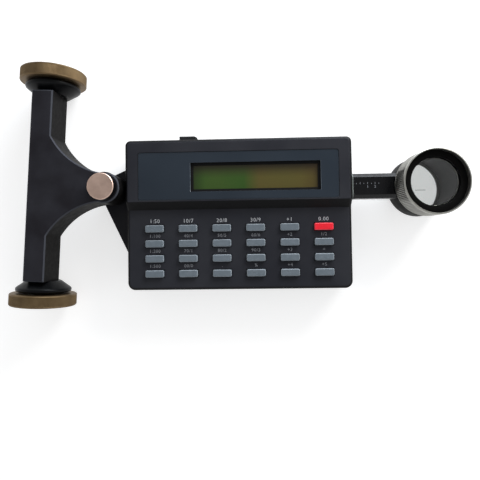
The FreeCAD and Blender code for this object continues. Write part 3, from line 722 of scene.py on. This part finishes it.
def make_camera():
    """Camera that looks down on the console, without depth of field."""
    camera = bpy.data.cameras.new("over_the_console")
    camera.sensor_width = camera_sensor
    camera.lens = camera_lens
    camera.shift_x = camera_shift[0]
    camera.shift_y = camera_shift[1]
    camera.clip_start = camera_near * MM
    holder = bpy.data.objects.new("over_the_console", camera)
    bpy.context.scene.collection.objects.link(holder)
    holder.location = place(*camera_place)
    holder.rotation_euler = camera_turn
    bpy.context.scene.camera = holder


# Console

def key_name(row, column):
    return "key_row%d_column%d" % (row, column)


def moulded_key(name):
    """Key with rounded corners and rim, on the foot that holds it under the cover."""
    low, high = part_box(name)
    flange = Vector((key_flange, key_flange, 0)) * MM
    cap = bar(low + flange, high - flange)
    upright = [edge for edge in cap.edges
               if abs(edge.verts[0].co.z - edge.verts[1].co.z) > MM]
    bmesh.ops.bevel(cap, geom=upright, offset=key_corner * MM, affect="EDGES",
                    segments=4, profile=0.5, material=-1)
    rim = [edge for edge in cap.edges
           if all(vert.co.z > high.z - 0.01 * MM for vert in edge.verts)]
    bmesh.ops.bevel(cap, geom=rim, offset=key_edge * MM, affect="EDGES",
                    segments=3, profile=0.5, material=-1)
    foot = bar(low, Vector((high.x, high.y, low.z + key_collar * MM)))
    return joined(name, [cap, foot])


def make_keys():
    # The third colour of each key is a painted highlight on its rim.
    grey = key_plastic("key_grey", shade(102, 111, 119), shade(94, 104, 112),
                       shade(142, 149, 156))
    red = key_plastic("key_red", shade(232, 26, 46), shade(222, 22, 40),
                      shade(244, 84, 98))
    for row in range(1, key_rows + 1):
        for column in range(1, key_columns + 1):
            name = key_name(row, column)
            is_red = row == 1 and column == key_columns
            keep_flat(new_piece(name + "_cap", moulded_key(name), name,
                                red if is_red else grey, [name]))


def make_legends():
    """Print on the key deck over every key, brighter in the first row."""
    legends = [
        ["1:50", "10/7", "20/8", "30/9", "+1", "0.00"],
        ["1:100", "40/4", "50/5", "60/6", "+2", "1/2"],
        ["1:200", "70/1", "80/2", "90/3", "+3", "="],
        ["1:500", "00/0", ".", "%", "+4", "+5"],
    ]
    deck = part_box("top_cover")[1].z - hump_height * MM
    bright = legend_ink("legend_white", shade(196, 198, 202))
    faint = legend_ink("legend_grey", shade(152, 154, 160))
    for row, words in enumerate(legends, start=1):
        lines = []
        for column, word in enumerate(words, start=1):
            centre = middle_of(key_name(row, column))
            spot = Vector((centre.x, centre.y + legend_gap * MM, deck))
            height = top_legend_height if row == 1 else legend_height
            lines.append(printed_text(word, spot, height))
        new_piece("legends_row%d" % row, joined("legends", lines), "console",
                  bright if row == 1 else faint)


def make_display():
    dressed_node("display_panel", "console", panel_gloss(), edge=0.2)
    finish_node("lcd_glass", display_glass())
    finish_node("lcd_frame", display_black())


def make_covers():
    moulding = cover_moulding()
    dressed_node("top_cover", "console", moulding, edge=0.18)
    dressed_node("base_cover", "console", moulding, edge=0.18)


def make_electronics():
    """Pieces inside the console."""
    finish_node("key_mat", mottled("mat_rubber", shade(52, 52, 54), shade(44, 44, 46),
                                   3, 0.7))
    laminate = circuit_laminate()
    finish_node("key_board", laminate)
    finish_node("main_board", laminate)
    finish_node("battery_pack", mottled("battery_sleeve", shade(40, 84, 130),
                                        shade(34, 74, 118), 8, 0.3))


def make_switch_and_socket():
    """Power switch, adaptor socket and encoder sensor, in the same black plastic."""
    black = mottled("switch_black", shade(26, 27, 30), shade(20, 21, 24), 4, 0.34)
    dressed_node("switch_frame", "console", black, edge=0.15)
    dressed_node("power_rocker", "switch_rocker", black, edge=0.3)
    dressed_node("charge_jack", "console", black, edge=0.15)
    finish_node("encoder_sensor", black)


def raised(mesh, loop, centre, narrowing, height):
    """Loop of edges drawn upwards and narrowed; gives the new loop."""
    made = bmesh.ops.extrude_edge_only(mesh, edges=loop)["geom"]
    upper = [item for item in made if isinstance(item, bmesh.types.BMVert)]
    bmesh.ops.scale(mesh, vec=(narrowing, narrowing, 1), verts=upper,
                    space=Matrix.Translation(-centre))
    bmesh.ops.translate(mesh, verts=upper, vec=UP * height * MM)
    return [item for item in made if isinstance(item, bmesh.types.BMEdge)
            and all(vert in upper for vert in item.verts)]


def countersunk_screw(x, y, length):
    """Screw seen from below, with a cross recess in its countersunk head."""
    mesh = bmesh.new()
    centre = place(x, y, screw_bottom + screw_sink)
    angles = [2 * math.pi * i / screw_steps for i in range(screw_steps)]
    rim = [mesh.verts.new(centre + place(screw_head * math.cos(angle),
                                         screw_head * math.sin(angle), 0))
           for angle in angles]
    quarter = [(cross_long, -cross_thin), (cross_long, cross_thin), (cross_thin, cross_thin)]
    cross = []
    for turn in range(4):
        swing = Matrix.Rotation(turn * math.pi / 2, 3, "Z")
        cross += [mesh.verts.new(centre + swing @ place(*corner, 0)) for corner in quarter]
    loops = [[mesh.edges.new((ring[i - 1], ring[i])) for i in range(len(ring))]
             for ring in (rim, cross)]
    bmesh.ops.triangle_fill(mesh, edges=loops[0] + loops[1], use_beauty=True,
                            use_dissolve=False)
    head_height = screw_head - screw_shank
    shank_height = length - screw_sink - head_height
    recess = raised(mesh, loops[1], centre, cross_taper, cross_depth)
    bmesh.ops.edgeloop_fill(mesh, edges=recess)
    neck = raised(mesh, loops[0], centre, screw_shank / screw_head, head_height)
    bmesh.ops.edgeloop_fill(mesh, edges=raised(mesh, neck, centre, 1, shank_height))
    bmesh.ops.recalc_face_normals(mesh, faces=mesh.faces)
    return mesh


def make_screws():
    steel = dull_metal("screw_steel", shade(176, 176, 178), shade(150, 150, 152), 0.3)
    screws = [countersunk_screw(*screw) for screw in console_screws]
    new_piece("cross_screws", joined("cross_screws", screws), "console", steel,
              ["console_screws"])


# Tracer

def knurled_ring():
    """Grip ring with a straight knurl between plain bands and a ledge for the lens."""
    profile = softened([
        (neck_radius + grip_gap, grip_low),
        (grip_radius - grip_edge, grip_low),
        (grip_radius, grip_low + grip_edge),
        (grip_radius, grip_top - grip_rim / 2),
        (grip_radius - grip_rim / 2, grip_top),
        (grip_radius - grip_rim, grip_top),
        (grip_radius - grip_rim, lens_seat + lens_edge),
        (lens_radius, lens_seat + lens_edge),
        (lens_radius, lens_seat),
        (lens_radius - ledge_width, lens_seat),
        (lens_radius - ledge_width, lens_seat - ledge_height),
        (neck_radius + grip_gap, lens_seat - ledge_height),
    ], width=0.15)
    wall = max(i for i, point in enumerate(profile)
               if abs(point[0] - grip_radius) < 0.01 and point[1] < knurl_low)
    band = [(grip_radius, knurl_low), (grip_radius, knurl_low + knurl_run),
            (grip_radius, knurl_top - knurl_run), (grip_radius, knurl_top)]
    profile[wall + 1:wall + 1] = band
    mesh = spun(profile, TRACING_POINT, UP, steps=2 * knurl_count)
    knurl(mesh, TRACING_POINT, UP, grip_radius, knurl_low + knurl_run / 2,
          knurl_top - knurl_run / 2, knurl_count, knurl_depth)
    return mesh


def knurled_silver():
    """Satin silver with painted shade darkening the grooves of the knurl."""
    finish = Finish("knurled_silver", shade(164, 163, 156), 0.36, metallic=1.0)
    radius = finish.around(TRACING_POINT, UP)[1]
    bare = finish.blend(finish.spread(finish.noise(4, 3), 0, 1),
                        shade(150, 149, 143), shade(172, 171, 165))
    groove = (grip_radius - knurl_depth) * MM
    ridge = finish.spread(radius, 0, 1, groove, groove + 0.75 * knurl_depth * MM)
    wall = finish.spread(radius, 0, 1, groove - 0.3 * MM, groove - 0.1 * MM)
    height = finish.part("Z")
    end = knurl_run / 2
    low = finish.spread(height, 0, 1, (knurl_low - end) * MM, knurl_low * MM)
    high = finish.spread(height, 1, 0, knurl_top * MM, (knurl_top + end) * MM)
    band = finish.product(finish.product(low, high), wall)
    # Painted shade in the grooves of the knurl.
    painted_groove_shade = finish.blend(ridge, shade(58, 57, 54), bare)
    finish.link(finish.blend(band, bare, painted_groove_shade), "Base Color")
    finish.link(finish.spread(finish.noise(1.6, 4), 0.3, 0.44), "Roughness")
    finish.link(finish.turned_marks(TRACING_POINT, UP, 0.5, 0.004), "Normal")
    return finish.material


def make_grip_ring():
    new_piece("knurled_ring", knurled_ring(), "grip", knurled_silver(),
              ["grip_ring"])


def make_lens_holder(enamel):
    """Black ring that holds the lens on its ledge."""
    rim = lens_seat + lens_edge
    outside = grip_radius - grip_rim - grip_gap
    retainer = softened([
        (retainer_bore, rim), (outside, rim),
        (outside, retainer_top), (retainer_bore, retainer_top),
    ], width=0.2)
    new_piece("lens_holder", spun(retainer, TRACING_POINT, UP), "grip",
              enamel, ["lens_retainer"])


def make_magnifier():
    """Lens, flat below and domed above."""
    sphere = (retainer_bore ** 2 + lens_rise ** 2) / (2 * lens_rise)
    spread = math.asin(retainer_bore / sphere)
    rim = lens_seat + lens_edge
    dome = [(sphere * math.sin(spread * i / lens_steps),
             rim + lens_rise - sphere * (1 - math.cos(spread * i / lens_steps)))
            for i in range(lens_steps, -1, -1)]
    outline = [(0, lens_seat), (lens_radius, lens_seat), (lens_radius, rim)] + dome
    new_piece("magnifier", spun(outline, TRACING_POINT, UP, closed=False), "grip",
              clear_glass("magnifier_glass", 0.0), ["lens"])


def make_barrel(enamel):
    """Barrel of the tracer, with the neck that the grip ring turns on."""
    barrel = softened([
        (barrel_bore, barrel_low),
        (barrel_radius - barrel_edge, barrel_low),
        (barrel_radius, barrel_low + barrel_edge),
        (barrel_radius, barrel_top - barrel_edge),
        (barrel_radius - barrel_edge, barrel_top),
        (neck_radius, barrel_top),
        (neck_radius, neck_top),
        (barrel_bore, neck_top),
    ], width=0.25)
    new_piece("tracer_body", spun(barrel, TRACING_POINT, UP), "console",
              enamel, ["tracer_barrel"])


def make_sight_marks():
    """Ring, dot and short cross lines on top of the tracing disc."""
    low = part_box("tracing_disc")[1].z / MM
    high = low + legend_lift
    inner, outer = sight_ring - sight_ring_half, sight_ring + sight_ring_half
    ring = spun([(inner, low), (outer, low), (outer, high), (inner, high)],
                TRACING_POINT, UP, steps=64)
    dot = spun([(0, low), (sight_dot, low), (sight_dot, high), (0, high)],
               TRACING_POINT, UP, steps=32, closed=False)
    marks = [ring, dot]
    for turn in range(4):
        line = bar(place(sight_ring + sight_cross_gap, -sight_cross_half, low),
                   place(sight_ring + sight_cross_reach, sight_cross_half, high))
        bmesh.ops.rotate(line, verts=line.verts, cent=TRACING_POINT,
                         matrix=Matrix.Rotation(turn * math.pi / 2, 3, "Z"))
        marks.append(line)
    new_piece("sight_marks", joined("sight_marks", marks), "console",
              legend_ink("sight_ink", shade(20, 20, 22)))


def make_tracer():
    make_grip_ring()
    enamel = satin_enamel("tracer_black", shade(14, 13, 13), shade(9, 9, 9), 0.5, 0.04)
    make_lens_holder(enamel)
    make_magnifier()
    make_barrel(enamel)
    finish_node("tracer_sole", mottled("sole_plastic", shade(226, 226, 220),
                                       shade(214, 214, 208), 5, 0.5))
    finish_node("tracing_disc", clear_glass("tracing_disc_glass", 0.02))
    make_sight_marks()


# Arm and pivot plate

def arm_gasket():
    """Gasket round the arm where it leaves the console."""
    mesh = bmesh.new()
    end = mesh.faces.new([mesh.verts.new(place(gasket_left, y, z))
                          for y, z in gasket_section])
    made = bmesh.ops.extrude_face_region(mesh, geom=[end])["geom"]
    drawn = [item for item in made if isinstance(item, bmesh.types.BMVert)]
    bmesh.ops.translate(mesh, verts=drawn, vec=ALONG * (gasket_right - gasket_left) * MM)
    bmesh.ops.recalc_face_normals(mesh, faces=mesh.faces)
    return mesh


def make_gasket():
    pale = mottled("gasket_grey", shade(116, 121, 118), shade(100, 105, 103), 2, 0.5)
    strip = new_piece("arm_gasket", arm_gasket(), "console", pale)
    break_edges(strip, width=0.2)


def make_arm_scale():
    """Short and long lines along the arm, with numbers at the long ones after the first."""
    lines = []
    for i in range(scale_lines):
        x = scale_start + i * scale_pitch
        long_line = i % 2
        end = scale_high + scale_longer * long_line
        lines.append(bar(place(x - scale_half, scale_low, arm_top),
                         place(x + scale_half, end, arm_top + legend_lift)))
        if long_line and i > 1:
            spot = place(x, number_low, arm_top)
            lines.append(printed_text(str(i // 2), spot, number_height))
    new_piece("arm_scale", joined("arm_scale", lines), "console",
              legend_ink("scale_ink", shade(132, 134, 140)))


def make_arm():
    enamel = satin_enamel("arm_black", shade(10, 10, 13), shade(7, 7, 9), 0.26, 0.25)
    dressed_node("tracer_arm", "console", enamel, edge=0.3)
    make_gasket()
    black = satin_enamel("plate_black", shade(30, 30, 35), shade(22, 22, 26), 0.42, 0.2)
    dressed_node("arm_plate", "console", black, edge=0.3)
    make_arm_scale()


# Swivel and roller carriage

def make_swivel_cap():
    """Silver cap with a bevelled rim, hollow over the pin."""
    centre = middle_of("pivot_cap")
    low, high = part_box("pivot_cap")
    top = (high.z - low.z) / MM
    profile = softened([
        (cap_hollow, 0), (cap_radius, 0), (cap_radius, top - cap_bevel),
        (cap_radius - cap_bevel, top), (0, top), (0, top - cap_skin),
        (cap_hollow, top - cap_skin),
    ], width=0.12)
    base = Vector((centre.x, centre.y, low.z))
    metal = spun_metal("cap_silver", shade(212, 184, 169), shade(200, 172, 157), 0.4,
                       base, UP, 0.3, 0.003, grain=0.4, side=shade(46, 41, 38))
    new_piece("swivel_cap", spun(profile, base, UP), "console", metal,
              ["pivot_cap"])


def make_swivel(steel, brass):
    make_swivel_cap()
    finish_node("pivot_pin", steel)
    finish_node("pivot_bush", brass)


def axle_line():
    """Middle and direction of the roller axle."""
    joint = joints["roller_spin"]
    axis = Vector(joint["axis"]).normalized()
    return Vector(joint["pos_m"]), axis


def make_bells():
    """Flared ends of the beam, with a seat for a bearing in each."""
    centre, axis = axle_line()
    bell = softened([
        (bell_bore, 0), (bell_neck, 0),
        (bell_radius - bell_edge, bell_flare), (bell_radius, bell_flare + bell_edge),
        (bell_radius, bell_length - bell_edge), (bell_radius - bell_edge, bell_length),
        (bearing_radius, bell_length), (bearing_radius, bell_length - bearing_width),
        (bell_bore, bell_length - bearing_width),
    ], width=0.25)
    bells = [spun(bell, centre + axis * side * beam_end * MM, axis * side)
             for side in (-1, 1)]
    bell_black = satin_enamel("bell_black", shade(12, 13, 15), shade(9, 10, 11), 0.34, 0.1)
    new_piece("bells", joined("bells", bells), "carriage", bell_black,
              ["end_bells"])


def make_carriage(steel):
    # Painted highlight on the casting's edges, painted shade on its sides.
    casting = satin_enamel("carriage_enamel", shade(45, 45, 50), shade(34, 33, 37), 0.5,
                           0.035, rim=shade(64, 66, 72), side=shade(16, 15, 15))
    dressed_node("carriage_frame", "carriage", casting, edge=0.35)
    dressed_node("carriage_base", "carriage", casting, edge=0.2)
    make_bells()
    finish_node("roller_bearings", steel)


def roller_brass():
    """Dull brass-brown metal with the fine rings of a lathe."""
    centre, axis = axle_line()
    finish = Finish("roller_brass", shade(116, 96, 68), 0.5, metallic=1.0)
    finish.link(finish.blend(finish.spread(finish.noise(6, 3), 0, 1),
                             shade(100, 83, 60), shade(116, 98, 72)), "Base Color")
    finish.link(finish.spread(finish.noise(1.5, 3), 0.46, 0.58), "Roughness")
    finish.link(finish.turned_marks(centre, axis, 0.5, 0.006), "Normal")
    return finish.material


def make_rollers(steel):
    """Both rollers, turned with a hub and a recess in the outer side, with a knurled rim."""
    centre, axis = axle_line()
    inner = bell_length + roller_gap
    outer = inner + roller_width
    recess = outer - roller_recess
    low, high = inner + roller_knurl_inset, outer - roller_knurl_inset
    profile = softened([
        (axle_radius, bell_length + hub_gap), (roller_hub - hub_step, bell_length + hub_gap),
        (roller_hub - hub_step, inner), (roller_radius - roller_edge, inner),
        (roller_radius, inner + roller_edge),
        (roller_radius, low), (roller_radius, low + roller_knurl_run),
        (roller_radius, high - roller_knurl_run), (roller_radius, high),
        (roller_radius, outer - roller_edge),
        (roller_radius - roller_edge, outer), (roller_radius - roller_rim, outer),
        (roller_radius - roller_rim - roller_slope, recess),
        (roller_hub + roller_slope, recess),
        (roller_hub, outer), (axle_radius, outer),
    ], width=0.15)
    brass = roller_brass()
    for side, name in ((-1, "roller_front"), (1, "roller_back")):
        end = centre + axis * side * beam_end * MM
        mesh = spun(profile, end, axis * side, steps=2 * roller_knurl_count)
        knurl(mesh, end, axis * side, roller_radius, low + roller_knurl_run / 2,
              high - roller_knurl_run / 2, roller_knurl_count, roller_knurl_depth)
        new_piece(name + "_turned", mesh, "rollers", brass, [name])
    finish_node("roller_axle", steel)


def make_measuring_wheel(steel, brass):
    ground = spun_metal("wheel_steel", shade(200, 200, 204), shade(182, 182, 186), 0.25,
                        joints["wheel_spin"]["pos_m"], ALONG, 0.3, 0.004)
    finish_node("measuring_wheel", ground)
    finish_node("wheel_axle", steel)
    finish_node("wheel_bracket", brass)
    finish_node("encoder_disc", display_black())


make_camera()
make_floor()
make_room_light()
for soft_box in soft_lamps:
    soft_lamp(*soft_box)
make_covers()
make_display()
make_keys()
make_legends()
make_electronics()
make_switch_and_socket()
make_screws()
make_tracer()
make_arm()
pin_steel = dull_metal("pin_steel", shade(186, 186, 188), shade(166, 166, 168), 0.28)
bush_brass = dull_metal("bush_brass", shade(190, 158, 92), shade(168, 138, 78), 0.32)
make_swivel(pin_steel, bush_brass)
make_carriage(pin_steel)
make_rollers(pin_steel)
make_measuring_wheel(pin_steel, bush_brass)

bpy.context.scene.view_settings.view_transform = "Standard"
